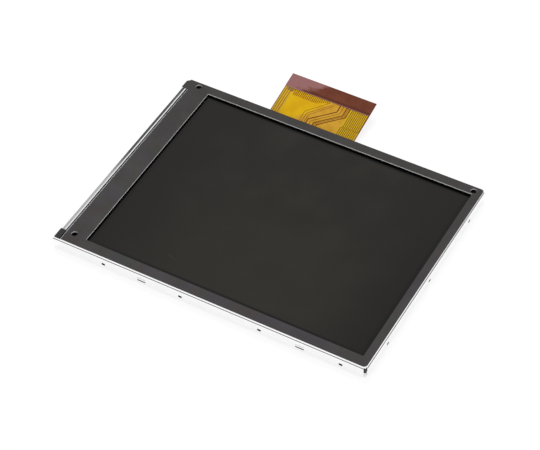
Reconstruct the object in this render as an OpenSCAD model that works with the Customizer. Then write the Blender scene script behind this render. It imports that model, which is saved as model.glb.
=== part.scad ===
// TFT display module: a colour panel with an LED backlight, in a folded steel bezel,
// with a flexible circuit that folds behind it and leaves as a tail for a connector.
// Millimetres. Origin: centre of the case outline in the plane that it rests on.
// +X runs along the long side, +Y towards the tail, +Z out of the screen.

/* [Window and borders] */
// Width of the window in the bezel
window_w = 76.3; // [60:0.1:110]
// Depth of the window in the bezel
window_d = 59.2; // [46:0.1:80]
// Border left of the window, over the panel's driver ledge
border_left = 6.9; // [6.8:0.1:9]
// Border right of the window
border_right = 2.5; // [2:0.1:4]
// Border in front of the window
border_front = 3.3; // [3:0.05:6]
// Border behind the window
border_back = 2.75; // [2.5:0.05:5]

/* [Bezel] */
// Thickness of the bezel's sheet steel
sheet_t = 0.3; // [0.2:0.05:0.4]
// Outside radius of the bezel's folds
bend_r = 0.4; // [0.4:0.05:0.5]
// How far the folded walls stop short of the right corners
corner_gap = 0.75; // [0.5:0.05:0.8]
// Height of the bezel's walls above the resting plane
wall_lift = 0.35; // [0.1:0.05:0.5]
// Depth of the short lip along the bezel's left edge
lip_h = 0.5; // [0.45:0.05:0.6]
// Diameter of the three locating holes
hole_d = 1.6; // [1.2:0.1:1.6]
// Locating holes, distance of the left two from the left side
hole_left = 3.4; // [2.8:0.1:3.5]
// Locating hole, distance of the front one from the front
hole_front = 3.65; // [3:0.05:6]
// Locating holes, distance of the back two from the back
hole_back = 1.65; // [1.35:0.05:1.65]
// Locating hole, distance of the right one from the right side
hole_right = 2.6; // [2:0.1:4]
// First catch in the front and back walls, from the left side
catch_left = 13.9; // [11:0.05:18]
// Last catch in the front and back walls, from the right side
catch_right = 6.7; // [4:0.05:12]
// First catch in the right wall, from the front
side_catch_front = 11.1; // [6:0.05:14]
// Last catch in the right wall, from the back
side_catch_back = 9.55; // [5:0.05:12]
// Height of the front and back catches' middle line above the resting plane
catch_z = 1.3; // [1.2:0.05:1.6]
// The same of the catches in the right wall
side_catch_z = 1.1; // [1.05:0.05:1.6]
// Width of a small catch window
catch_w = 0.95; // [0.5:0.05:1.5]
// Height of a small catch window
catch_h = 0.65; // [0.4:0.05:0.7]
// Length of the two slits of a pressed bridge
slit_w = 2.3; // [1.5:0.1:3]
// Height of one slit
slit_h = 0.22; // [0.12:0.02:0.24]
// Distance between the two slits of a bridge
slit_gap = 0.55; // [0.4:0.05:0.6]
// How far a bridge is pressed in
bridge_in = 0.1; // [0.05:0.05:0.15]

/* [Black film] */
// Thickness of the black film on the bezel
film_t = 0.05; // [0.03:0.01:0.1]
// Bare rim in front of the film
film_front = 0.5; // [0.5:0.01:1.2]
// Bare rim right of the film
film_right = 0.42; // [0.4:0.01:1.2]
// Radius of the film's front right corner
film_corner_r = 1; // [0.3:0.1:1.5]
// How far the film stays back from the window's edge
film_window_gap = 0.01; // [0:0.01:0.2]
// How far the film wraps down the back wall
film_wrap = 1; // [0.5:0.1:2]

/* [Left rail and corners] */
// How far the rail that guards the folded circuit stands out past the left side
rail_out = 0.5; // [0.3:0.05:0.5]
// Inner side of the rail, from the left side
rail_in = 0.72; // [0.66:0.02:0.8]
// Gap between the rail and the bezel's lip
rail_gap = 0.2; // [0.16:0.02:0.3]
// Width of the rail's flat ridge
rail_ridge = 0.3; // [0.2:0.05:0.4]
// Slope of the rail's shoulder, outside the ridge
rail_slope = 20; // [10:1:30]
// How far the rail's ridge lies below the film's face
rail_drop = 0.15; // [0.1:0.05:0.4]
// Depth of the rail's inner leaf
rail_leaf_h = 0.5; // [0.3:0.05:0.6]
// How far the left corners stand out past the left side
corner_out = 0.55; // [0.4:0.05:0.7]
// Length of the front left corner block
corner_front = 3.7; // [3:0.1:5.5]
// Length of the back left corner tab
corner_back = 3.75; // [3.2:0.05:5]
// Chamfer on the back left corner
corner_chamfer = 0.8; // [0.4:0.1:1]

/* [Panel] */
// Thickness of one polarizer
polarizer_t = 0.12; // [0.1:0.01:0.25]
// Thickness of one panel glass
glass_t = 0.3; // [0.3:0.05:0.5]
// Thickness of the seal between the glasses
seal_t = 0.05; // [0.02:0.01:0.1]
// Width of the seal
seal_w = 0.8; // [0.5:0.1:1.2]
// How far the glass reaches under the bezel on each side
glass_under = 0.25; // [0.2:0.05:0.3]
// How far the polarizers stay back from the glass edge
polarizer_inset = 0.1; // [0.05:0.05:0.25]
// Width of the driver ledge on the lower glass
ledge_w = 2.2; // [2:0.1:2.3]
// Number of driver chips on the ledge
driver_count = 2; // [1:1:3]
// Length of a driver chip
driver_l = 14.5; // [8:0.5:16]
// Width of a driver chip
driver_w = 0.8; // [0.6:0.1:0.9]
// Thickness of a driver chip
driver_t = 0.35; // [0.2:0.05:0.4]
// Air gap between the front polarizer and the bezel
lip_gap = 0.49; // [0.3:0.01:0.6]

/* [Backlight] */
// Thickness of each diffuser and prism sheet
optic_t = 0.06; // [0.05:0.01:0.12]
// Thickness of the light guide
guide_t = 0.45; // [0.4:0.05:0.8]
// Thickness of the reflector sheet
reflector_t = 0.08; // [0.05:0.01:0.12]
// Thickness of the black tape round the sheets
tape_t = 0.05; // [0.03:0.01:0.1]
// Number of white LEDs
led_count = 6; // [3:1:8]
// Distance between the LEDs
led_pitch = 7.6; // [4.5:0.1:7.8]
// Length of one LED
led_l = 3.8; // [2:0.1:4]
// Depth of one LED
led_d = 1; // [0.8:0.1:1.1]
// Thickness of the LEDs' flexible strip
strip_t = 0.1; // [0.08:0.01:0.14]
// Width of the strip's tail
strip_tail_w = 3; // [2:0.1:3.5]
// Middle of the strip's tail, from the front
strip_tail_y = 9; // [8.5:0.1:9.5]

/* [Frame and chassis] */
// Thickness of the rear chassis's sheet steel
chassis_t = 0.2; // [0.15:0.05:0.25]
// Depth of the recess behind the panel
recess_h = 0.65; // [0.6:0.01:0.8]
// Width of the chassis's rim round the recess
rim_w = 4.5; // [4.3:0.1:6]
// Height of the chassis's side walls
tray_h = 1.45; // [1.1:0.05:1.6]

/* [Flexible circuit] */
// Thickness of the flexible circuit
flex_t = 0.12; // [0.08:0.01:0.15]
// Front edge of the folded part, from the front
fold_y = 12.5; // [12:0.1:16]
// Width of the folded part
fold_w = 39.5; // [30:0.5:40]
// Outside radius of the fold
fold_r = 0.6; // [0.5:0.05:0.7]
// Outer side of the fold, from the left side
fold_x = 0.55; // [0.5:0.05:0.65]
// How far the circuit reaches over the ledge
bond_w = 0.9; // [0.6:0.1:1]
// How far the circuit runs behind the panel, from the left side
rear_reach = 52; // [50:0.5:56]
// Number of contacts at the tail's end
contact_count = 48; // [36:1:48]
// Distance between the contacts
contact_pitch = 0.5; // [0.4:0.05:0.5]
// Middle of the tail, from the left side
tail_middle = 35.3; // [34:0.1:36]
// Tail's reach past the middle of its outer contacts
tail_side = 0.65; // [0.5:0.05:0.8]
// Length of the tail's straight part
tail_l = 14.2; // [12:0.1:30]
// Angle at which the tail rises
tail_rise = 12; // [3:0.5:25]
// Radius of the bend where the tail rises
tail_bend_r = 3; // [2:0.5:6]
// Length of the stiffener
stiffener_l = 4.3; // [3.5:0.1:6]
// Thickness of the stiffener
stiffener_t = 0.18; // [0.1:0.01:0.3]
// Length of the contacts
contact_l = 3.4; // [2.5:0.1:3.5]
// Thickness of the copper
copper_t = 0.03; // [0.02:0.01:0.04]
// Thickness of the adhesive under the chassis
adhesive_t = 0.05; // [0.03:0.01:0.06]

/* [Hidden] */
$fn = 48;

// Clearances
fit = 0.05;          // between parts that slide past each other
pocket = 0.1;        // round the glass and the sheets in their pockets
past = 1;            // how far a cut runs past what it cuts

// Outline of the case
body_w = border_left + window_w + border_right;
body_d = border_front + window_d + border_back;
win_x0 = border_left;
win_x1 = border_left + window_w;
win_y0 = border_front;
win_y1 = border_front + window_d;

// Heights, from the resting plane up
z_floor = recess_h;                          // underside of the raised chassis floor
z_reflector = z_floor + chassis_t;
z_guide = z_reflector + reflector_t;
z_sheets = z_guide + guide_t;                // underside of the four optical sheets
sheet_count = 4;
z_tape = z_sheets + sheet_count * optic_t;
z_rear_pol = z_tape + tape_t;
z_tft = z_rear_pol + polarizer_t;
z_seal = z_tft + glass_t;                    // also the face that the ledge offers
z_cf = z_seal + seal_t;
z_front_pol = z_cf + glass_t;
z_sheet = z_front_pol + polarizer_t + lip_gap;   // underside of the bezel's face
z_film = z_sheet + sheet_t;
body_t = z_film + film_t;

// Left edge: rail, gap, then the bezel's lip
lip_x = rail_in + rail_gap;
film_left = lip_x + bend_r;
tab_y = body_d - corner_back;

// Panel and backlight outlines
glass_x0 = win_x0 - glass_under;
glass_x1 = win_x1 + glass_under;
glass_y0 = win_y0 - glass_under;
glass_y1 = win_y1 + glass_under;
ledge_x0 = glass_x0 - ledge_w;
seal_side = 0.25;                            // seal's distance from the glass edge
guide_in = 0.55;                             // how far the light guide stays inside the window
guide_x0 = glass_x0;
guide_x1 = win_x1 - guide_in;
guide_y0 = win_y0 + guide_in;
guide_y1 = win_y1 - guide_in;
led_room = 0.1;                              // air between the LEDs and the light guide
led_x0 = guide_x0 - led_room - led_d;
strip_x0 = ledge_x0;
strip_side = 1.5;                            // strip's reach past the last LED
led_span = (led_count - 1) * led_pitch;
led_middle = body_d / 2;
tape_in = 1.2;                               // how far the tape covers the sheets

// Mould frame
frame_side = sheet_t + fit;                  // inside the bezel's walls
frame_low_side = frame_side + chassis_t + fit;   // inside the chassis's walls
frame_top_side = bend_r + fit;               // clear of the bezel's folds
frame_top_h = 0.25;                          // height of the set back top of the frame
frame_left = lip_x + sheet_t + fit;
tray_side = frame_side;
tray_top = tray_h + fit;

// Chassis recess, with room for the circuit and for the LED strip's tail
rear_x0 = 6;                                 // left edge of the circuit's part behind the panel
channel_side = 0.3;                          // room beside the circuit where it passes
recess_x0 = rear_x0 - channel_side;
recess_x1 = body_w - rim_w;
recess_y0 = rim_w;
recess_y1 = body_d - rim_w;
slot_x1 = 1.8;                               // inner edge of the slot for the fold
channel_y0 = strip_tail_y - strip_tail_w / 2 - channel_side;
channel_y1 = fold_y + fold_w + channel_side;

// Flexible circuit
z_flex = z_floor - adhesive_t;               // upper face behind the panel
tail_w = (contact_count - 1) * contact_pitch + 2 * tail_side;
tail_x0 = tail_middle - tail_w / 2;
tail_x1 = tail_middle + tail_w / 2;
tail_room = 0.5;                             // room beside the tail in the back wall
tail_notch_h = z_floor + chassis_t;
rear_front = 1.5;                            // circuit's reach in front of the LED strip's tail
rear_back = 2;                               // and behind the fold
rear_y0 = strip_tail_y - strip_tail_w / 2 - rear_front;
rear_y1 = fold_y + fold_w + rear_back;
strip_fold_r = 0.45;                         // outside radius of the LED strip's fold
strip_lap = 3.5;                             // how far the strip's tail overlaps the circuit
copper_side = 0.25;
stiffener_y = tail_l - stiffener_l;

// Catches: windows at the odd steps from the middle, pressed bridges at the even ones
window_steps = [-3, -1, 1, 3];
bridge_steps = [-2, 2];
side_steps = [-1, 0, 1];
catch_middle = (catch_left + body_w - catch_right) / 2;
catch_pitch = (body_w - catch_left - catch_right) / (2 * max(window_steps));
side_catch_middle = (side_catch_front + body_d - side_catch_back) / 2;
side_catch_pitch = (body_d - side_catch_front - side_catch_back) / (2 * max(side_steps));
catch_room = 0.4;                            // room round a catch in the chassis wall
bridge_pocket = bridge_in + fit;

function catch_x(step) = catch_middle + step * catch_pitch;
function side_catch_y(step) = side_catch_middle + step * side_catch_pitch;
// A catch in the back wall is left out where the tail passes
function clear_of_tail(x, half) = x + half < tail_x0 - past || x - half > tail_x1 + past;
function reversed(list) = [for (i = [len(list) - 1 : -1 : 0]) list[i]];
function unit(v) = v / norm(v);
function left_of(v) = [-v[1], v[0]];
// Mitred offset of the points of a line, to one side
function side_points(points, offset_by) = [for (i = [0 : len(points) - 1])
    let (before = unit(points[max(i, 1)] - points[max(i, 1) - 1]),
         after = unit(points[min(i, len(points) - 2) + 1] - points[min(i, len(points) - 2)]),
         middle = unit(left_of(before) + left_of(after)))
    points[i] + middle * offset_by / (middle * left_of(before))];

// Places a piece drawn from the case's front left corner
module placed() {
    translate([-body_w / 2, -body_d / 2, 0]) children();
}

// A box between two corners
module slab(low, high) {
    translate(low) cube(high - low);
}

// Sweeps a section along X: the section's x points to +Y and its y to +Z
module along_x(x0, x1) {
    translate([x0, 0, 0]) rotate([90, 0, 90]) linear_extrude(x1 - x0) children();
}

// Sweeps a section along Y: the section's x points to +X and its y to +Z
module along_y(y0, y1) {
    translate([0, y1, 0]) rotate([90, 0, 0]) linear_extrude(y1 - y0) children();
}

// Quarter ring in the upper left corner of a fold that has its outer corner at 0, 0
module quarter_ring(outer, inner) {
    difference() {
        intersection() {
            translate([outer, -outer]) circle(outer);
            translate([0, -outer]) square(outer);
        }
        translate([outer, -outer]) circle(inner);
    }
}

// Section of a folded edge of the bezel: its fold and its wall, outer corner at 0, 0
module fold_section(height) {
    quarter_ring(bend_r, bend_r - sheet_t);
    translate([0, -height]) square([sheet_t, height - bend_r]);
}

// A line of constant width with mitred corners
module strip(points, width) {
    polygon(concat(side_points(points, width / 2), reversed(side_points(points, -width / 2))));
}

// The three locating holes, in plan
hole_places = [[hole_left, hole_front], [hole_left, body_d - hole_back],
    [body_w - hole_right, body_d - hole_back]];

module locating_holes() {
    for (p = hole_places)
        translate(p) circle(d = hole_d);
}

// Outline of the back left corner, in plan
module back_corner(right, back) {
    polygon([[-corner_out, tab_y], [right, tab_y], [right, back],
        [corner_chamfer - corner_out, back], [-corner_out, back - corner_chamfer]]);
}

// Cut for one small catch window, in a wall along X
module catch_window(z) {
    translate([-catch_w / 2, -past, z - catch_h / 2]) cube([catch_w, past + sheet_t + fit, catch_h]);
}

// Sheet steel of one bridge, pressed in between its slits
module bridge_bar() {
    translate([-slit_w / 2, bridge_in, catch_z - slit_gap / 2]) cube([slit_w, sheet_t, slit_gap]);
}

// The stretch of wall that one bridge and its two slits take
module bridge_cut() {
    translate([-slit_w / 2, -past, catch_z - slit_gap / 2 - slit_h])
        cube([slit_w, past + sheet_t + fit, slit_gap + 2 * slit_h]);
}

module at_front(x) {
    translate([x, 0, 0]) children();
}

module at_back(x) {
    translate([x, body_d, 0]) mirror([0, 1, 0]) children();
}

module at_right(y) {
    translate([body_w, y, 0]) rotate([0, 0, 90]) children();
}

module bezel_blank() {
    translate([0, 0, z_sheet]) linear_extrude(sheet_t) difference() {
        union() {
            translate([lip_x + bend_r, bend_r])
                square([body_w - lip_x - 2 * bend_r, body_d - 2 * bend_r]);
            back_corner(lip_x + bend_r, body_d - bend_r);
        }
        translate([win_x0, win_y0]) square([window_w, window_d]);
        locating_holes();
    }
    wall_h = z_film - wall_lift;
    translate([0, 0, z_film]) {
        along_x(-corner_out, body_w - corner_gap) fold_section(wall_h);
        translate([0, body_d, 0]) mirror([0, 1, 0])
            along_x(corner_chamfer - corner_out, body_w - corner_gap) fold_section(wall_h);
        translate([body_w, 0, 0]) mirror([1, 0, 0])
            along_y(corner_gap, body_d - corner_gap) fold_section(wall_h);
        translate([lip_x, 0, 0]) along_y(bend_r, tab_y) fold_section(lip_h);
    }
}

module bezel() {
    color("gainsboro") placed() {
        difference() {
            bezel_blank();
            for (step = window_steps) {
                at_front(catch_x(step)) catch_window(catch_z);
                if (clear_of_tail(catch_x(step), catch_w / 2))
                    at_back(catch_x(step)) catch_window(catch_z);
            }
            for (step = bridge_steps) {
                at_front(catch_x(step)) bridge_cut();
                if (clear_of_tail(catch_x(step), slit_w / 2))
                    at_back(catch_x(step)) bridge_cut();
            }
            for (step = side_steps)
                at_right(side_catch_y(step)) catch_window(side_catch_z);
            slab([tail_x0 - tail_room, body_d - sheet_t - fit, 0],
                [tail_x1 + tail_room, body_d + past, tail_notch_h]);
        }
        for (step = bridge_steps) {
            at_front(catch_x(step)) bridge_bar();
            if (clear_of_tail(catch_x(step), slit_w / 2))
                at_back(catch_x(step)) bridge_bar();
        }
    }
}

module bezel_film() {
    color([0.22, 0.21, 0.22]) placed() {
        film_d = body_d - bend_r - film_front;
        film_w = body_w - film_left - film_right;
        translate([0, 0, z_film]) linear_extrude(film_t) difference() {
            union() {
                translate([film_left, film_front]) square([film_w - film_corner_r, film_d]);
                translate([film_left, film_front + film_corner_r]) square([film_w, film_d - film_corner_r]);
                translate([film_left + film_w - film_corner_r, film_front + film_corner_r])
                    circle(film_corner_r);
                back_corner(film_left, body_d - bend_r);
            }
            translate([win_x0 - film_window_gap, win_y0 - film_window_gap])
                square([window_w + 2 * film_window_gap, window_d + 2 * film_window_gap]);
            locating_holes();
        }
        translate([0, body_d + film_t, body_t]) mirror([0, 1, 0])
            along_x(corner_chamfer - corner_out, body_w - corner_gap) {
                quarter_ring(bend_r + film_t, bend_r);
                translate([0, -bend_r - film_t - film_wrap]) square([film_t, film_wrap]);
            }
    }
}

// A flat sheet as large as the window grown by a margin on each side
module panel_sheet(margin, z, thickness) {
    slab([win_x0 - margin, win_y0 - margin, z], [win_x1 + margin, win_y1 + margin, z + thickness]);
}

module front_polarizer() {
    color([0.1, 0.1, 0.09]) placed()
        panel_sheet(glass_under - polarizer_inset, z_front_pol, polarizer_t);
}

module color_filter_glass() {
    color([0.45, 0.55, 0.55]) placed() panel_sheet(glass_under, z_cf, glass_t);
}

module cell_seal() {
    color("wheat") placed() difference() {
        panel_sheet(glass_under - seal_side, z_seal, seal_t);
        translate([0, 0, -seal_t]) panel_sheet(glass_under - seal_side - seal_w, z_seal, 3 * seal_t);
    }
}

module tft_glass() {
    color([0.5, 0.6, 0.6]) placed()
        slab([ledge_x0, glass_y0, z_tft], [glass_x1, glass_y1, z_tft + glass_t]);
}

module rear_polarizer() {
    color([0.15, 0.15, 0.16]) placed()
        panel_sheet(glass_under - polarizer_inset, z_rear_pol, polarizer_t);
}

module driver_chips() {
    chip_x = glass_x0 - fit - driver_w;
    room = (glass_y1 - glass_y0) / driver_count;
    color("dimgray") placed()
        for (i = [0 : driver_count - 1])
            translate([chip_x, glass_y0 + (i + 0.5) * room - driver_l / 2, z_seal])
                cube([driver_w, driver_l, driver_t]);
}

module shield_tape() {
    color([0.12, 0.12, 0.12]) placed() difference() {
        slab([glass_x0 - pocket, glass_y0, z_tape], [glass_x1, glass_y1, z_tape + tape_t]);
        slab([guide_x0 + tape_in, guide_y0 + tape_in, z_tape - past],
            [guide_x1 - tape_in, guide_y1 - tape_in, z_tape + past]);
    }
}

// One of the optical sheets, counted from the light guide up
module optic_sheet(index) {
    z = z_sheets + index * optic_t;
    placed() slab([guide_x0, guide_y0, z], [guide_x1, guide_y1, z + optic_t]);
}

module lower_diffuser() {
    color("whitesmoke") optic_sheet(0);
}

module lower_prism_sheet() {
    color("aliceblue") optic_sheet(1);
}

module upper_prism_sheet() {
    color("lightcyan") optic_sheet(2);
}

module upper_diffuser() {
    color("white") optic_sheet(3);
}

module light_guide() {
    color("azure") placed()
        slab([guide_x0, guide_y0, z_guide], [guide_x1, guide_y1, z_guide + guide_t]);
}

module reflector() {
    color("snow") placed()
        slab([led_x0 - fit, guide_y0, z_reflector], [guide_x1, guide_y1, z_reflector + reflector_t]);
}

// Section of a strip that folds round the left edge: it comes in at the top,
// runs down at fold_x and goes back below the chassis
module round_the_edge(top, bottom, thickness, radius, top_end, bottom_end) {
    translate([fold_x, top]) quarter_ring(radius, radius - thickness);
    translate([fold_x, bottom]) mirror([0, 1]) quarter_ring(radius, radius - thickness);
    translate([fold_x, bottom + radius]) square([thickness, top - bottom - 2 * radius]);
    translate([fold_x + radius, top - thickness]) square([top_end - fold_x - radius, thickness]);
    translate([fold_x + radius, bottom]) square([bottom_end - fold_x - radius, thickness]);
}

module led_strip() {
    z_top = z_guide + guide_t + strip_t;
    z_bottom = z_flex - flex_t - strip_t;
    color("goldenrod") placed() {
        slab([strip_x0, led_middle - led_span / 2 - led_l / 2 - strip_side, z_guide + guide_t],
            [guide_x0 - fit, led_middle + led_span / 2 + led_l / 2 + strip_side, z_top]);
        slab([strip_x0, strip_tail_y - strip_tail_w / 2, z_guide + guide_t],
            [guide_x0 - fit, led_middle, z_top]);
        along_y(strip_tail_y - strip_tail_w / 2, strip_tail_y + strip_tail_w / 2)
            round_the_edge(z_top, z_bottom, strip_t, strip_fold_r, strip_x0, rear_x0 + strip_lap);
    }
}

module white_leds() {
    color("lightyellow") placed()
        for (i = [0 : led_count - 1])
            translate([led_x0, led_middle - led_span / 2 + i * led_pitch - led_l / 2, z_guide])
                cube([led_d, led_l, guide_t]);
}

// Room that the chassis's raised floor and its steps take, in plan
module recess_plan(margin) {
    grow = [margin, margin];
    translate([recess_x0, recess_y0] - grow)
        square([recess_x1 - recess_x0, recess_y1 - recess_y0] + 2 * grow);
    translate([slot_x1, channel_y0 - margin])
        square([recess_x1 - slot_x1, channel_y1 - channel_y0 + 2 * margin]);
    translate([tail_x0 - tail_room - margin, recess_y0])
        square([tail_w + 2 * tail_room + 2 * margin, body_d - tray_side - recess_y0]);
}

module frame_ring() {
    // Lower part, inside the chassis's walls
    slab([frame_left, frame_low_side, chassis_t],
        [body_w - frame_low_side, body_d - frame_low_side, tray_top]);
    // Middle part, inside the bezel's walls
    slab([frame_left, frame_side, tray_top],
        [body_w - frame_side, body_d - frame_side, z_sheet - frame_top_h]);
    // Top, set back from the bezel's folds
    slab([lip_x + frame_top_side, frame_top_side, z_sheet - frame_top_h],
        [body_w - frame_top_side, body_d - frame_top_side, z_sheet]);
    // Front left corner block, beside the bezel's lip up to the film's face
    slab([-corner_out, frame_low_side, chassis_t], [lip_x - fit, corner_front, body_t]);
    slab([lip_x - fit, frame_low_side, chassis_t],
        [frame_left, corner_front, z_film - lip_h - fit]);
    // Back left corner block, under the bezel's tab
    translate([0, 0, chassis_t]) linear_extrude(z_sheet - chassis_t)
        back_corner(lip_x + frame_top_side, body_d - frame_low_side);
}

module mould_frame() {
    color([0.16, 0.16, 0.17]) placed() difference() {
        frame_ring();
        // Pocket for the light guide, its sheets and the LEDs
        slab([ledge_x0 - pocket, guide_y0 - pocket, -past],
            [guide_x1 + pocket, guide_y1 + pocket, z_tape + past]);
        // Pocket for the panel
        slab([ledge_x0 - pocket, glass_y0 - pocket, z_tape],
            [glass_x1 + pocket, glass_y1 + pocket, body_t + past]);
        // Room for the chassis's raised floor
        translate([0, 0, -past]) linear_extrude(past + z_reflector + fit)
            recess_plan(chassis_t + fit);
        // Path of the circuit over the left wall
        slab([-past, fold_y - channel_side, z_seal],
            [ledge_x0, fold_y + fold_w + channel_side, body_t + past]);
        slab([-past, channel_y0, -past], [fold_x + fold_r + pocket, channel_y1, z_seal]);
        slab([-past, channel_y0, -past], [slot_x1, channel_y1, z_reflector + fit]);
        // Slot for the tail of the LED strip
        slab([-past, strip_tail_y - strip_tail_w / 2 - pocket, z_guide + guide_t - fit],
            [ledge_x0, strip_tail_y + strip_tail_w / 2 + pocket, z_guide + guide_t + strip_t + fit]);
        // Square pockets under the locating holes
        translate([0, 0, z_tape]) linear_extrude(body_t)
            for (p = hole_places)
                translate(p) square(hole_d, center = true);
        // Pockets behind the pressed bridges
        for (step = bridge_steps) {
            at_front(catch_x(step)) bridge_pocket_cut();
            at_back(catch_x(step)) bridge_pocket_cut();
        }
    }
}

module bridge_pocket_cut() {
    translate([-slit_w / 2 - fit, 0, catch_z - slit_gap / 2 - fit])
        cube([slit_w + 2 * fit, sheet_t + bridge_pocket, slit_gap + 2 * fit]);
}

// Notch in a chassis wall behind one catch
module catch_notch(width, z) {
    translate([-width / 2 - catch_room, 0, z - slit_gap / 2 - slit_h - fit])
        cube([width + 2 * catch_room, tray_side + chassis_t + fit, tray_h]);
}

// Section of the rail: outer leaf, sloping shoulder, flat ridge and short inner leaf
module rail_section() {
    half = chassis_t / 2;
    outer = half - rail_out;
    shoulder = rail_in - rail_ridge;
    inner = rail_in - half;
    top = body_t - rail_drop - half;
    strip([[outer, 0], [outer, top - (shoulder - outer) * tan(rail_slope)], [shoulder, top],
        [inner, top], [inner, top + half - rail_leaf_h]], chassis_t);
}

module rear_chassis() {
    color("silver") placed() {
        difference() {
            union() {
                difference() {
                    slab([0, tray_side, 0], [body_w - tray_side, body_d - tray_side, tray_h]);
                    slab([-past, tray_side + chassis_t, chassis_t],
                        [body_w - tray_side - chassis_t, body_d - tray_side - chassis_t, tray_h + past]);
                }
                linear_extrude(z_reflector) recess_plan(chassis_t);
            }
            // Recess and channels behind the panel
            translate([0, 0, -past]) linear_extrude(past + z_floor) {
                recess_plan(0);
                translate([tail_x0 - tail_room, recess_y0])
                    square([tail_w + 2 * tail_room, body_d]);
            }
            // Slot for the fold
            slab([chassis_t, channel_y0, -past], [slot_x1, channel_y1, z_reflector + past]);
            // Notches behind the catches
            for (step = window_steps) {
                at_front(catch_x(step)) catch_notch(catch_w, catch_z);
                at_back(catch_x(step)) catch_notch(catch_w, catch_z);
            }
            for (step = bridge_steps) {
                at_front(catch_x(step)) catch_notch(slit_w, catch_z);
                at_back(catch_x(step)) catch_notch(slit_w, catch_z);
            }
            for (step = side_steps)
                at_right(side_catch_y(step)) catch_notch(catch_w, side_catch_z);
        }
        along_y(corner_front + fit, tab_y - fit) rail_section();
        slab([-rail_out, corner_front + fit, 0], [chassis_t, tab_y - fit, chassis_t]);
    }
}

// Places a piece on the tail's upper face, from the tail's left edge where it turns straight
module on_tail() {
    translate([tail_x0, body_d + tail_bend_r * sin(tail_rise),
        z_flex + tail_bend_r * (1 - cos(tail_rise))]) rotate([tail_rise, 0, 0]) children();
}

// Section of the bend where the tail starts to rise, centre of the bend at 0, 0
module tail_bend_section() {
    reach = 2 * tail_bend_r;
    intersection() {
        difference() {
            circle(tail_bend_r + flex_t);
            circle(tail_bend_r);
        }
        polygon([[0, 0], [0, -reach], [reach * tan(tail_rise), -reach]]);
    }
}

module flex_circuit() {
    color([0.78, 0.52, 0.12]) placed() {
        along_y(fold_y, fold_y + fold_w)
            round_the_edge(z_seal + flex_t, z_flex - flex_t, flex_t, fold_r,
                ledge_x0 + bond_w, rear_x0);
        translate([0, 0, z_flex - flex_t]) linear_extrude(flex_t) {
            translate([rear_x0, rear_y0]) square([rear_reach - rear_x0, rear_y1 - rear_y0]);
            translate([tail_x0, rear_y0]) square([tail_w, body_d - rear_y0]);
        }
        translate([0, body_d, z_flex + tail_bend_r])
            along_x(tail_x0, tail_x1) tail_bend_section();
        on_tail() slab([0, 0, -flex_t], [tail_w, tail_l, 0]);
    }
}

// Gaps between the copper areas of the tail, in contact pitches. Each point is a distance
// from the tail's left or right edge and a distance from the stiffener.
edge_gaps = [1.4, 2.7, 4];
edge_gap_w = 0.36;
edge_gap_start = 0.2;
edge_turn = 2.4;
comb_start = 6.5;
comb_end = 19.3;
comb_l = 3.8;
comb_short_l = 1.2;
comb_gap_w = 0.44;
comb_margin = 0.5;
// Thin gaps that bound the copper area in the middle
thin_gaps = [[[22.4, 0.6], [31.8, 9.8], [32.4, 11.2]],
    [[20.6, 1], [30.4, 10.8], [31, 12.2]],
    [[19.6, 1.4], [29.2, 11.4], [29.6, 12.4]]];
thin_gap_w = 0.28;
// Gaps that come straight from the stiffener and then turn to the left: distance from the
// right edge, straight length, width
turned_gaps = [[16.7, 4.3, 0.68], [14.9, 4.8, 0.32], [12.9, 5.2, 0.68], [12, 5.5, 0.32],
    [11, 5.8, 0.68]];
turn_slope = 0.85;
turn_l = 11.8;
bus_lines = 10;
bus_gap_w = 0.4;
bus_jog = 11.2;
bus_jog_l = 1;
past_pitches = 2;
root_pitches = tail_l / contact_pitch;   // past the root of the copper

// A gap given by points from the tail's left edge and from the stiffener, in pitches
module gap_from_left(points, width) {
    strip([for (p = points) [p[0] * contact_pitch, stiffener_y - p[1] * contact_pitch]],
        width * contact_pitch);
}

// The same from the tail's right edge, and on to the root
module gap_from_right(points, width) {
    last = points[len(points) - 1];
    strip([for (p = concat(points, [[last[0], root_pitches]]))
        [tail_w - p[0] * contact_pitch, stiffener_y - p[1] * contact_pitch]], width * contact_pitch);
}

module copper_gaps() {
    for (x = edge_gaps)
        gap_from_left([[x, edge_gap_start], [x, root_pitches]], edge_gap_w);
    last_edge = edge_gaps[len(edge_gaps) - 1];
    gap_from_left([[last_edge, edge_turn], [comb_start, -edge_gap_start]], edge_gap_w);
    comb_limit = tail_w / contact_pitch - thin_gaps[0][0][0] - comb_margin;
    for (x = [comb_start : comb_limit]) {
        share = max(0, (x - comb_end) / (comb_limit - comb_end));
        gap_from_left([[x, -past_pitches], [x, comb_l - share * (comb_l - comb_short_l)]], comb_gap_w);
    }
    for (points = thin_gaps)
        gap_from_right(points, thin_gap_w);
    for (gap = turned_gaps)
        gap_from_right([[gap[0], -past_pitches], [gap[0], gap[1]],
            [gap[0] + turn_l, gap[1] + turn_l * turn_slope]], gap[2]);
    for (i = [0 : bus_lines - 1])
        gap_from_right([[i + 0.5, -past_pitches], [i + 0.5, bus_jog], [i + 1.5, bus_jog + bus_jog_l]],
            bus_gap_w);
}

module tail_copper() {
    color([0.93, 0.72, 0.15]) placed() on_tail()
        linear_extrude(copper_t) difference() {
            translate([copper_side, 0]) square([tail_w - 2 * copper_side, stiffener_y]);
            copper_gaps();
        }
}

module tail_stiffener() {
    color([0.42, 0.22, 0.15]) placed()
        on_tail() slab([0, stiffener_y, 0], [tail_w, tail_l, stiffener_t]);
}

module tail_contacts() {
    contact_w = 0.6 * contact_pitch;
    color("gold") placed() on_tail()
        for (i = [0 : contact_count - 1])
            translate([tail_side + i * contact_pitch - contact_w / 2, tail_l - contact_l, -flex_t - copper_t])
                cube([contact_w, contact_l, copper_t]);
}

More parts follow.
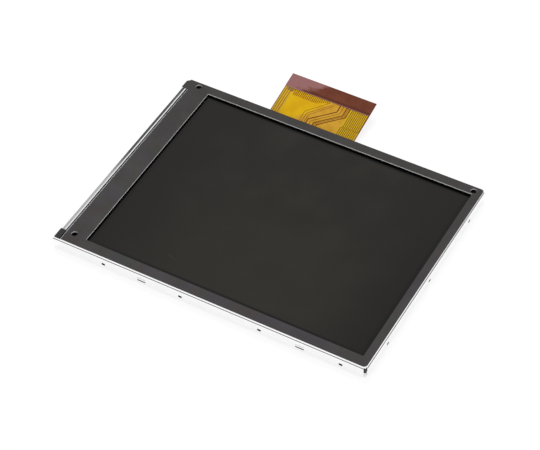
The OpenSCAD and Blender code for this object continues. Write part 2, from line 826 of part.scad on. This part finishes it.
module flex_adhesive() {
    margin = 1;
    color("beige") placed()
        slab([rear_x0 + margin, rear_y0 + margin, z_flex],
            [rear_reach - margin, rear_y1 - margin, z_floor]);
}

// Chip parts on the circuit's rear face, in rows along X from a first middle point
module chip_row(first, count, pitch, size) {
    placed() for (i = [0 : count - 1])
        translate([first[0] + i * pitch - size[0] / 2, first[1] - size[1] / 2, z_flex - flex_t - size[2]])
            cube(size);
}

// First chip and the rows behind it
chip_x = 14;
chip_y = 22;
row_pitch = 2.4;
row_step = 3;
small_chip = [1, 0.5, 0.35];
small_count = 9;
resistor_count = 6;
large_chip = [1.6, 0.8, 0.38];
large_count = 5;
large_pitch = 3.2;
power_row_y = chip_y + 4 * row_step;
inductor_x = 16;
inductor_size = [3, 3, 0.42];
power_chip_x = 24;
power_chip_size = [4, 4, 0.42];

module chip_capacitors() {
    color("burlywood") {
        for (row = [0 : 1])
            chip_row([chip_x, chip_y + row * row_step], small_count, row_pitch, small_chip);
        chip_row([chip_x, chip_y + 2 * row_step], large_count, large_pitch, large_chip);
    }
}

module chip_resistors() {
    color([0.1, 0.1, 0.1])
        chip_row([chip_x, chip_y - row_step], resistor_count, row_pitch, small_chip);
}

module power_inductor() {
    color("gray") chip_row([inductor_x, power_row_y], 1, 0, inductor_size);
}

module power_chip() {
    color([0.08, 0.08, 0.09]) chip_row([power_chip_x, power_row_y], 1, 0, power_chip_size);
}

bezel();
bezel_film();
front_polarizer();
color_filter_glass();
cell_seal();
tft_glass();
rear_polarizer();
driver_chips();
shield_tape();
upper_diffuser();
upper_prism_sheet();
lower_prism_sheet();
lower_diffuser();
light_guide();
reflector();
led_strip();
white_leds();
mould_frame();
rear_chassis();
flex_circuit();
tail_copper();
tail_stiffener();
tail_contacts();
flex_adhesive();
chip_capacitors();
chip_resistors();
power_inductor();
power_chip();
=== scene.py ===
import math

import bpy
from mathutils import Matrix, Vector


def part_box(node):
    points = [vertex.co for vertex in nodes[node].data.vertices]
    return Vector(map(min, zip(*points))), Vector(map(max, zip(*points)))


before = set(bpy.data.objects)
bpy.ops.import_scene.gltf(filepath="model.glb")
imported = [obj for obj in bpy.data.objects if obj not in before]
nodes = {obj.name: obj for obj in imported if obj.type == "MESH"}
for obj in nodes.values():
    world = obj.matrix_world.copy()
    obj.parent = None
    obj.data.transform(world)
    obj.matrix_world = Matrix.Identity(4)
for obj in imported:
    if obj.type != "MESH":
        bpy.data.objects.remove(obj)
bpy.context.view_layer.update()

MM = 0.001
scene = bpy.context.scene


# ---------------------------------------------------------------- camera

def add_camera():
    """A long lens, in front of the module and to its right, well above it."""
    target = Vector((1.25, -3.53, 3.40)) * MM
    distance = 475.83 * MM
    azimuth, elevation, roll = (math.radians(a) for a in (29.730, 47.077, -0.831))
    back = Vector((math.sin(azimuth) * math.cos(elevation),
                   -math.cos(azimuth) * math.cos(elevation), math.sin(elevation)))
    level = Vector((math.cos(azimuth), math.sin(azimuth), 0))
    right = level * math.cos(roll) + back.cross(level) * math.sin(roll)
    up = back.cross(right)
    data = bpy.data.cameras.new("camera")
    data.lens = 128.99
    data.sensor_width = 36
    data.clip_start = 0.02
    data.clip_end = 20
    camera = bpy.data.objects.new("camera", data)
    camera.matrix_world = Matrix.Translation(target + back * distance) @ Matrix(
        (right, up, back)).transposed().to_4x4()
    scene.collection.objects.link(camera)
    scene.camera = camera


add_camera()


# ---------------------------------------------------------------- node helpers

class Graph:
    """Short ways to make the nodes of one material or world."""

    def __init__(self, tree):
        self.tree = tree
        tree.nodes.clear()

    def node(self, kind, inputs=None, **settings):
        n = self.tree.nodes.new(kind)
        for name, value in settings.items():
            setattr(n, name, value)
        for name, value in (inputs or {}).items():
            self.put(value, n.inputs[name])
        return n

    def put(self, value, socket):
        if isinstance(value, bpy.types.NodeSocket):
            self.tree.links.new(value, socket)
        elif hasattr(socket.default_value, "__len__") and len(socket.default_value) == 4 and len(value) == 3:
            socket.default_value = (*value, 1)
        else:
            socket.default_value = value

    def math(self, op, a, b=0.0, c=0.0, clamp=False):
        return self.node("ShaderNodeMath", {0: a, 1: b, 2: c}, operation=op, use_clamp=clamp).outputs[0]

    def add(self, *values):
        total = values[0]
        for v in values[1:]:
            total = self.math("ADD", total, v)
        return total

    def times(self, *values):
        total = values[0]
        for v in values[1:]:
            total = self.math("MULTIPLY", total, v)
        return total

    def span(self, value, low, high, to_low=0.0, to_high=1.0, smooth=True):
        """value from low..high to to_low..to_high, held at both ends."""
        n = self.node("ShaderNodeMapRange", {"Value": value, "From Min": low, "From Max": high,
                                             "To Min": to_low, "To Max": to_high})
        n.interpolation_type = "SMOOTHSTEP" if smooth else "LINEAR"
        return n.outputs["Result"]

    def mix(self, share, a, b, blend="MIX"):
        n = self.node("ShaderNodeMix", data_type="RGBA", blend_type=blend, clamp_factor=True)
        sockets = [s for s in n.inputs if s.enabled]
        for socket, value in zip(sockets, (share, a, b)):
            self.put(value, socket)
        return [s for s in n.outputs if s.enabled][0]

    def parts(self, kind):
        """The three coordinates of a texture coordinate's socket."""
        whole = self.node("ShaderNodeTexCoord").outputs[kind]
        return list(self.node("ShaderNodeSeparateXYZ", {0: whole}).outputs)

    def place(self):
        """The three coordinates on the object, in metres."""
        return self.parts("Object")

    def normal(self):
        """The three parts of the surface's normal."""
        return self.parts("Normal")

    def noise(self, size_mm, detail=2.0, rough=0.5, stretch=(1, 1, 1), offset=(0, 0, 0), distortion=0.0):
        """Noise whose features are about size_mm across, from 0 to 1."""
        where = self.node("ShaderNodeTexCoord").outputs["Object"]
        moved = self.node("ShaderNodeMapping", {"Vector": where, "Scale": stretch, "Location": offset})
        n = self.node("ShaderNodeTexNoise", {"Vector": moved.outputs[0], "Scale": 1 / (size_mm * MM),
                                             "Detail": detail, "Roughness": rough, "Distortion": distortion})
        return n.outputs["Fac"]

    def rays(self):
        """1 for rays from the camera or through mirrors and glass, and 1 for mirrored rays alone."""
        path = self.node("ShaderNodeLightPath").outputs
        seen = self.math("MAXIMUM", path["Is Camera Ray"], self.math(
            "MAXIMUM", path["Is Glossy Ray"], path["Is Transmission Ray"]))
        return seen, path["Is Glossy Ray"]

    def bump(self, height, strength, distance_mm):
        return self.node("ShaderNodeBump", {"Height": height, "Strength": strength,
                                            "Distance": distance_mm * MM}).outputs["Normal"]

    def finish(self, name="ShaderNodeBsdfPrincipled", **inputs):
        shader = self.node(name, inputs)
        out = self.node("ShaderNodeOutputMaterial")
        self.tree.links.new(shader.outputs[0], out.inputs["Surface"])


def material(name):
    made = bpy.data.materials.new(name)
    made.use_nodes = True
    return made, Graph(made.node_tree)


def grey(level):
    return (level, level, level)


# ---------------------------------------------------------------- light and floor

def add_world():
    world = bpy.data.worlds.new("studio")
    scene.world = world
    world.use_nodes = True
    g = Graph(world.node_tree)
    seen, mirrored = g.rays()
    # The tent stands clear of the table, so polished folds show a dark line at the horizon
    height = g.parts("Generated")[2]
    dark = g.times(g.span(height, 0.56, 0.4), mirrored)
    colour = g.mix(seen, grey(0.62), grey(1.0))
    colour = g.mix(dark, colour, grey(0.06))
    back = g.node("ShaderNodeBackground", {"Color": colour, "Strength": 1.0})
    out = g.node("ShaderNodeOutputWorld")
    g.tree.links.new(back.outputs[0], out.inputs["Surface"])


def add_softbox(name, at_mm, size_mm, watts):
    data = bpy.data.lights.new(name, "AREA")
    data.shape = "RECTANGLE"
    data.size, data.size_y = size_mm[0] * MM, size_mm[1] * MM
    data.energy = watts
    lamp = bpy.data.objects.new(name, data)
    lamp.location = Vector(at_mm) * MM
    lamp.rotation_euler = (-lamp.location).to_track_quat("-Z", "Y").to_euler()
    lamp.visible_glossy = False
    scene.collection.objects.link(lamp)


def add_floor():
    size = 3.0
    mesh = bpy.data.meshes.new("floor")
    mesh.from_pydata([(x * size, y * size, -0.02 * MM) for x, y in ((-1, -1), (1, -1), (1, 1), (-1, 1))],
                     [], [(0, 1, 2, 3)])
    floor = bpy.data.objects.new("floor", mesh)
    scene.collection.objects.link(floor)
    made, g = material("floor_paper")
    seen, mirrored = g.rays()
    # Away from the module the table is dark in reflections
    x, y, _ = g.place()
    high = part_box("bezel")[1]
    away = g.math("MAXIMUM", g.math("SUBTRACT", g.math("ABSOLUTE", x), high.x),
                  g.math("SUBTRACT", g.math("ABSOLUTE", y), high.y))
    dark = g.times(g.span(away, 3.5 * MM, 10 * MM), mirrored)
    seen_paper = g.mix(dark, grey(0.3), grey(0.05))
    seen_glow = g.times(seen, g.span(dark, 0, 1, 0.78, 0.03))
    paper = g.node("ShaderNodeBsdfDiffuse", {"Color": g.mix(seen, grey(0.75), seen_paper)})
    glow = g.node("ShaderNodeEmission", {"Color": grey(1.0), "Strength": seen_glow})
    both = g.node("ShaderNodeAddShader")
    g.tree.links.new(paper.outputs[0], both.inputs[0])
    g.tree.links.new(glow.outputs[0], both.inputs[1])
    out = g.node("ShaderNodeOutputMaterial")
    g.tree.links.new(both.outputs[0], out.inputs["Surface"])
    mesh.materials.append(made)


add_world()
add_softbox("key", (-260, 420, 620), (420, 420), 1.5)
add_softbox("fill", (380, -240, 520), (380, 380), 0.55)
add_floor()


# ---------------------------------------------------------------- materials

def rect_mask(g, x, y, low, high, soft):
    """1 inside the rectangle, 0 outside, with a soft edge. All in metres."""
    inside = g.times(g.span(x, low[0] - soft, low[0] + soft), g.span(x, high[0] + soft, high[0] - soft))
    return g.times(inside, g.span(y, low[1] - soft, low[1] + soft), g.span(y, high[1] + soft, high[1] - soft))


def steel_graph(name, tone, rough):
    """Rolled sheet steel: bright, with fine rolling lines along X and faint smears."""
    made, g = material(name)
    lines = g.noise(0.12, 3, 0.6, stretch=(0.03, 1, 1))
    smears = g.noise(7, 3, 0.6, offset=(3, 1, 2), distortion=0.6)
    specks = g.span(g.noise(0.16, 1, 0.4, offset=(0, 5, 0)), 0.7, 0.8)
    colour = g.mix(g.span(lines, 0.3, 0.7), tuple(c * 0.96 for c in tone), tone)
    colour = g.mix(g.times(specks, 0.3), colour, tuple(c * 0.55 for c in tone))
    roughness = g.add(rough, g.span(smears, 0.35, 0.75, -0.04, 0.09), g.span(lines, 0.2, 0.8, -0.02, 0.03))
    bump = g.bump(g.add(g.times(lines, 0.6), g.times(smears, 0.4)), 0.12, 0.02)
    return made, g, colour, roughness, bump


def bezel_steel():
    """Bright sheet steel whose sheared edges are duller and pale in the face. The cut faces in the walls'
    slits are painted near black, as painted shade.
    """
    made, g, colour, roughness, bump = steel_graph("bezel_steel", (0.97, 0.97, 0.975), 0.17)
    x, y, z = g.place()
    nz = g.normal()[2]
    low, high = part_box("bezel")
    film_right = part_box("bezel_film")[1].x
    fold = 0.6 * MM
    inner = rect_mask(g, x, y, (low.x + 3 * fold, low.y + fold), (high.x - fold, high.y - fold),
                      0.02 * MM)
    upright = g.span(g.math("ABSOLUTE", nz), 0.5, 0.3)
    face_edge = g.times(inner, upright)
    flat = g.span(g.math("ABSOLUTE", nz), 0.85, 0.95)
    shaded_slit_edge = g.times(flat, g.span(z, high.z - 1.2 * MM, high.z - 1.4 * MM))
    # The rim right of the film is painted darker towards the back, a painted dark reflection of what the rim
    # mirrors there.
    rim = g.times(g.span(x, film_right - 0.1 * MM, film_right), g.span(nz, 0.9, 0.98))
    painted_dark_rim = g.times(rim, g.span(y, low.y + 12 * MM, high.y, 0, 0.8))
    colour = g.mix(face_edge, colour, grey(0.93))
    # Painted shade: the cut faces in the walls' slits are painted near black where they lie in shadow.
    colour = g.mix(shaded_slit_edge, colour, grey(0.06))
    colour = g.mix(painted_dark_rim, colour, grey(0.1))
    cut = g.math("MAXIMUM", face_edge, shaded_slit_edge)
    g.finish(**{"Base Color": colour, "Metallic": g.math("SUBTRACT", 1.0, cut), "Normal": bump,
                "Roughness": g.math("MAXIMUM", roughness, g.times(0.6, cut))})
    return made


def chassis_steel():
    """The same sheet, a little darker. The rail's shoulder is a paler, matt grey towards the front, in uneven
    patches.
    """
    made, g, colour, _, bump = steel_graph("chassis_steel", (0.84, 0.845, 0.85), 0.22)
    _, y, z = g.place()
    nx, _, nz = g.normal()
    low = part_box("rear_chassis")[0]
    shoulder = g.times(g.span(nx, -0.15, -0.25), g.span(nz, 0.7, 0.85), g.span(z, 2.2 * MM, 2.4 * MM))
    unevenness = g.span(g.noise(1.2, 3, 0.6, stretch=(1, 0.15, 1)), 0.3, 0.7, -0.12, 0.12)
    share = g.add(g.span(y, low.y + 18 * MM, low.y + 36 * MM, 0.9, 0.0), unevenness)
    pale = g.times(shoulder, share)
    g.finish(**{"Base Color": g.mix(pale, colour, grey(0.5)),
                "Metallic": g.math("SUBTRACT", 1.0, pale, clamp=True),
                "Roughness": g.span(pale, 0, 1, 0.22, 0.6), "Normal": bump})
    return made


def black_film():
    """Matt black film with a fine grain, and faint clouds of brown, purple and green."""
    made, g = material("black_film")
    grain = g.noise(0.16, 4, 0.75)
    clouds = g.noise(5.5, 2, 0.5, offset=(1, 0, 0))
    tint = g.noise(4.2, 2, 0.5, offset=(0, 4, 0))
    y = g.place()[1]
    low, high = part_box("bezel_film")
    base = g.mix(g.span(clouds, 0.38, 0.62), (0.037, 0.030, 0.027), (0.040, 0.034, 0.042))
    base = g.mix(g.span(tint, 0.54, 0.68), base, (0.030, 0.037, 0.027))
    # Warmer and darker towards the back
    back = g.span(y, low.y + 20 * MM, high.y)
    base = g.mix(g.times(back, 0.75), base, (0.026, 0.023, 0.018))
    speck = g.span(grain, 0.42, 0.7)
    base = g.mix(g.times(speck, 0.8), base, (0.058, 0.053, 0.057))
    shine = g.span(g.noise(6, 2, 0.5, offset=(0, 0, 7)), 0.3, 0.7, 0.42, 0.56)
    g.finish(**{"Base Color": base, "Roughness": shine, "Specular IOR Level": 0.46,
                "Normal": g.bump(grain, 0.5, 0.04)})
    return made


def screen():
    """Dark polarizer with a fine anti glare haze. The active area is a little lighter than its mask. Its
    middle, more so towards the front, is painted lighter and warmer as a painted soft reflection.
    """
    made, g = material("screen_film")
    x, y, _ = g.place()
    low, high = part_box("front_polarizer")
    edge = 1.45 * MM
    active = rect_mask(g, x, y, (low.x + edge, low.y + edge), (high.x - edge, high.y - edge), 0.15 * MM)
    # Painted reflection: the middle, more so towards the front and in a soft mottle, is painted lighter and
    # warmer.
    mottle = g.noise(10, 2, 0.5)
    width = high.x - low.x
    middle = g.times(g.span(x, low.x, low.x + 0.4 * width), g.span(x, high.x, high.x - 0.3 * width))
    front = g.span(y, high.y, low.y)
    glow = g.times(middle, g.span(front, 0, 1, 0.35, 1))
    warm = g.mix(glow, (0.0062, 0.0052, 0.0032), (0.0175, 0.0150, 0.0105))
    warm = g.mix(g.times(g.span(mottle, 0.4, 0.75), 0.5, middle), warm, (0.0240, 0.0200, 0.0150))
    colour = g.mix(active, (0.0020, 0.0016, 0.0014), warm)
    haze = g.noise(0.08, 2, 0.6)
    # A short fine scratch at the front, left of the middle
    scratch_x, scratch_y = low.x + 21.1 * MM, low.y + 5.925 * MM
    slant = 0.35
    line = g.math("ABSOLUTE", g.add(y, g.times(x, slant), -scratch_y - slant * scratch_x))
    near = rect_mask(g, x, y, (scratch_x - 1.2 * MM, scratch_y - 1.45 * MM),
                     (scratch_x + 1.2 * MM, scratch_y + 0.95 * MM), 0.4 * MM)
    scratch = g.times(g.span(line, 0.09 * MM, 0.03 * MM), near)
    g.finish(**{"Base Color": g.mix(g.times(scratch, 0.5), colour, (0.07, 0.06, 0.05)),
                "Roughness": g.span(haze, 0.3, 0.7, 0.12, 0.17),
                "Specular IOR Level": 0.2, "Normal": g.bump(haze, 0.03, 0.01)})
    return made


def plastic(name, dark, light, rough, grain_mm, depth=0.3):
    made, g = material(name)
    grain = g.noise(grain_mm, 3, 0.6)
    cloud = g.noise(5, 2, 0.5, offset=(2, 3, 0))
    colour = g.mix(g.span(g.add(g.times(grain, 0.5), g.times(cloud, 0.5)), 0.35, 0.65), dark, light)
    g.finish(**{"Base Color": colour, "Roughness": g.span(cloud, 0.3, 0.7, rough - 0.05, rough + 0.05),
                "Normal": g.bump(grain, depth, 0.03)})
    return made


def glass():
    made, g = material("panel_glass")
    faint = g.noise(12, 1, 0.5)
    colour = g.mix(g.span(faint, 0.3, 0.7), (0.78, 0.87, 0.85), (0.86, 0.92, 0.91))
    g.finish(**{"Base Color": colour, "Roughness": g.span(faint, 0.3, 0.7, 0.02, 0.05),
                "Transmission Weight": 0.9, "IOR": 1.52})
    return made


def flex_film():
    """Amber film, seen from behind with the copper's shapes showing through. Its fold is inked black."""
    made, g = material("flex_amber")
    weave = g.noise(0.5, 3, 0.6)
    cloud = g.noise(5, 2, 0.5)
    x, y, _ = g.place()
    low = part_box("flex_circuit")[0]
    colour = g.mix(g.span(cloud, 0.35, 0.65), (0.19, 0.060, 0.003), (0.26, 0.085, 0.004))
    colour = g.mix(g.times(g.span(weave, 0.45, 0.7), 0.7), colour, (0.30, 0.11, 0.006))
    inked = g.times(g.span(x, low.x + 5.6 * MM, low.x + 5.3 * MM), g.span(y, low.y, low.y + 0.01 * MM))
    colour = g.mix(inked, colour, grey(0.012))
    g.finish(**{"Base Color": colour, "Roughness": g.span(cloud, 0.3, 0.7, 0.25, 0.36),
                "Specular IOR Level": 0.12, "Normal": g.bump(weave, 0.15, 0.01)})
    return made


def tail_copper():
    """Copper under an amber cover film: golden yellow, orange between the slanted lines and lower right."""
    made, g = material("copper_gold")
    x, y, _ = g.place()
    low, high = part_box("tail_copper")
    cloud = g.noise(3, 3, 0.5)
    fine = g.noise(0.3, 2, 0.5)
    gold = g.mix(g.span(cloud, 0.35, 0.65), (0.76, 0.42, 0.004), (0.83, 0.50, 0.005))
    gold = g.mix(g.times(g.span(fine, 0.5, 0.75), 0.35), gold, (0.88, 0.58, 0.02))
    # The slanted band runs from the stiffener's middle to the root at the left
    across = g.math("SUBTRACT", g.times(x, 0.76), g.times(y, 0.65))
    corner = low.x * 0.76 - high.y * 0.65
    bus_start, bus_full = high.x - 5.4 * MM, high.x - 5.0 * MM
    band = g.times(g.span(across, corner + 9.6 * MM, corner + 11.4 * MM), g.span(x, bus_full, bus_start))
    orange = g.mix(g.span(cloud, 0.4, 0.6), (0.62, 0.31, 0.028), (0.70, 0.37, 0.045))
    gold = g.mix(g.times(band, 0.85), gold, orange)
    bus = g.span(x, bus_start, bus_full)
    gold = g.mix(g.times(bus, 0.7), gold, (0.62, 0.43, 0.02))
    left = g.times(g.span(x, low.x + 2.6 * MM, low.x + 2.2 * MM), 0.6)
    gold = g.mix(left, gold, (0.64, 0.40, 0.05))
    olive = rect_mask(g, x, y, (low.x + 0.6 * MM, high.y - 0.9 * MM), (low.x + 2.6 * MM, high.y + MM),
                      0.3 * MM)
    gold = g.mix(g.times(olive, 0.8), gold, (0.26, 0.19, 0.07))
    g.finish(**{"Base Color": gold, "Metallic": 0.0, "Roughness": g.span(cloud, 0.3, 0.7, 0.3, 0.4),
                "Specular IOR Level": 0.08, "Normal": g.bump(fine, 0.1, 0.01)})
    return made


def stiffener():
    """Glossy reddish brown film with a mauve sheen at its upper left."""
    made, g = material("stiffener_brown")
    cloud = g.noise(3.5, 3, 0.55)
    fine = g.noise(0.25, 2, 0.6)
    streak = g.noise(2.6, 3, 0.6, stretch=(0.5, 1.6, 1), offset=(1, 2, 0), distortion=0.5)
    x, y, _ = g.place()
    low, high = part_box("tail_stiffener")
    colour = g.mix(g.span(cloud, 0.35, 0.7), (0.150, 0.036, 0.017), (0.185, 0.050, 0.022))
    # The sheen ends along a slanting, uneven line
    run = g.add(x, g.times(y, -1.3), g.span(streak, 0.25, 0.75, -2.4 * MM, 2.4 * MM))
    ends = low.x - 1.3 * high.y
    sheen = g.span(run, ends + 12.5 * MM, ends + 8.5 * MM)
    colour = g.mix(g.times(sheen, 0.9), colour, (0.36, 0.165, 0.160))
    dark = g.times(g.span(y, low.y + 1.3 * MM, low.y + 0.5 * MM), g.span(sheen, 0.6, 0.2))
    colour = g.mix(g.times(dark, 0.6), colour, (0.085, 0.018, 0.014))
    lower_edge = g.span(y, low.y + 0.16 * MM, low.y + 0.1 * MM)
    colour = g.mix(g.times(lower_edge, 0.8), colour, (0.50, 0.26, 0.20))
    g.finish(**{"Base Color": colour, "Roughness": g.span(fine, 0.3, 0.7, 0.2, 0.28),
                "Specular IOR Level": 0.12, "Normal": g.bump(cloud, 0.2, 0.15)})
    return made


def metal(name, tone, rough, grain_mm=0.1):
    made, g = material(name)
    grain = g.noise(grain_mm, 3, 0.6)
    colour = g.mix(g.span(grain, 0.3, 0.7), tuple(c * 0.85 for c in tone), tone)
    g.finish(**{"Base Color": colour, "Metallic": 1.0,
                "Roughness": g.span(grain, 0.3, 0.7, rough - 0.05, rough + 0.08),
                "Normal": g.bump(grain, 0.2, 0.01)})
    return made


looks = {
    "bezel": bezel_steel(),
    "bezel_film": black_film(),
    "front_polarizer": screen(),
    "rear_chassis": chassis_steel(),
    "mould_frame": plastic("frame_black", (0.011, 0.011, 0.012), (0.022, 0.022, 0.024), 0.5, 0.09),
    "color_filter_glass": glass(),
    "flex_circuit": flex_film(),
    "tail_copper": tail_copper(),
    "tail_stiffener": stiffener(),
    "tail_contacts": metal("contact_gold", (0.86, 0.62, 0.24), 0.25),
    "driver_chips": plastic("chip_black", (0.02, 0.02, 0.024), (0.035, 0.035, 0.04), 0.2, 0.4, 0.05),
    "shield_tape": plastic("black_tape", (0.014, 0.014, 0.014), (0.024, 0.024, 0.024), 0.6, 0.2),
    "upper_diffuser": plastic("diffuser_white", (0.78, 0.78, 0.78), (0.84, 0.84, 0.85), 0.6, 0.05, 0.2),
    "upper_prism_sheet": plastic("prism_clear", (0.66, 0.69, 0.72), (0.74, 0.77, 0.8), 0.25, 0.05, 0.4),
    "light_guide": plastic("guide_clear", (0.76, 0.8, 0.82), (0.8, 0.84, 0.86), 0.12, 0.5, 0.1),
    "reflector": plastic("reflector_white", (0.8, 0.8, 0.82), (0.86, 0.86, 0.88), 0.3, 0.3, 0.1),
    "white_leds": plastic("led_white", (0.82, 0.78, 0.5), (0.86, 0.84, 0.66), 0.4, 0.3, 0.1),
    "cell_seal": plastic("seal_resin", (0.6, 0.5, 0.33), (0.66, 0.56, 0.38), 0.35, 0.3, 0.1),
    "flex_adhesive": plastic("adhesive_clear", (0.6, 0.57, 0.46), (0.66, 0.63, 0.52), 0.5, 0.3, 0.2),
    "chip_capacitors": plastic("capacitor_tan", (0.26, 0.14, 0.06), (0.34, 0.19, 0.09), 0.4, 0.08, 0.2),
    "chip_resistors": plastic("resistor_black", (0.012, 0.012, 0.014), (0.022, 0.022, 0.026), 0.3, 0.08, 0.2),
    "power_inductor": plastic("inductor_grey", (0.055, 0.055, 0.058), (0.08, 0.08, 0.084), 0.55, 0.1, 0.4),
}
same_as = {"rear_polarizer": "front_polarizer", "tft_glass": "color_filter_glass",
           "lower_diffuser": "upper_diffuser", "lower_prism_sheet": "upper_prism_sheet",
           "led_strip": "flex_circuit", "power_chip": "driver_chips"}
for name, piece in nodes.items():
    look = looks[same_as.get(name, name)]
    for slot in piece.material_slots:
        slot.material = look
    if not piece.material_slots:
        piece.data.materials.append(look)


# ---------------------------------------------------------------- view transform

scene.view_settings.view_transform = "Standard"
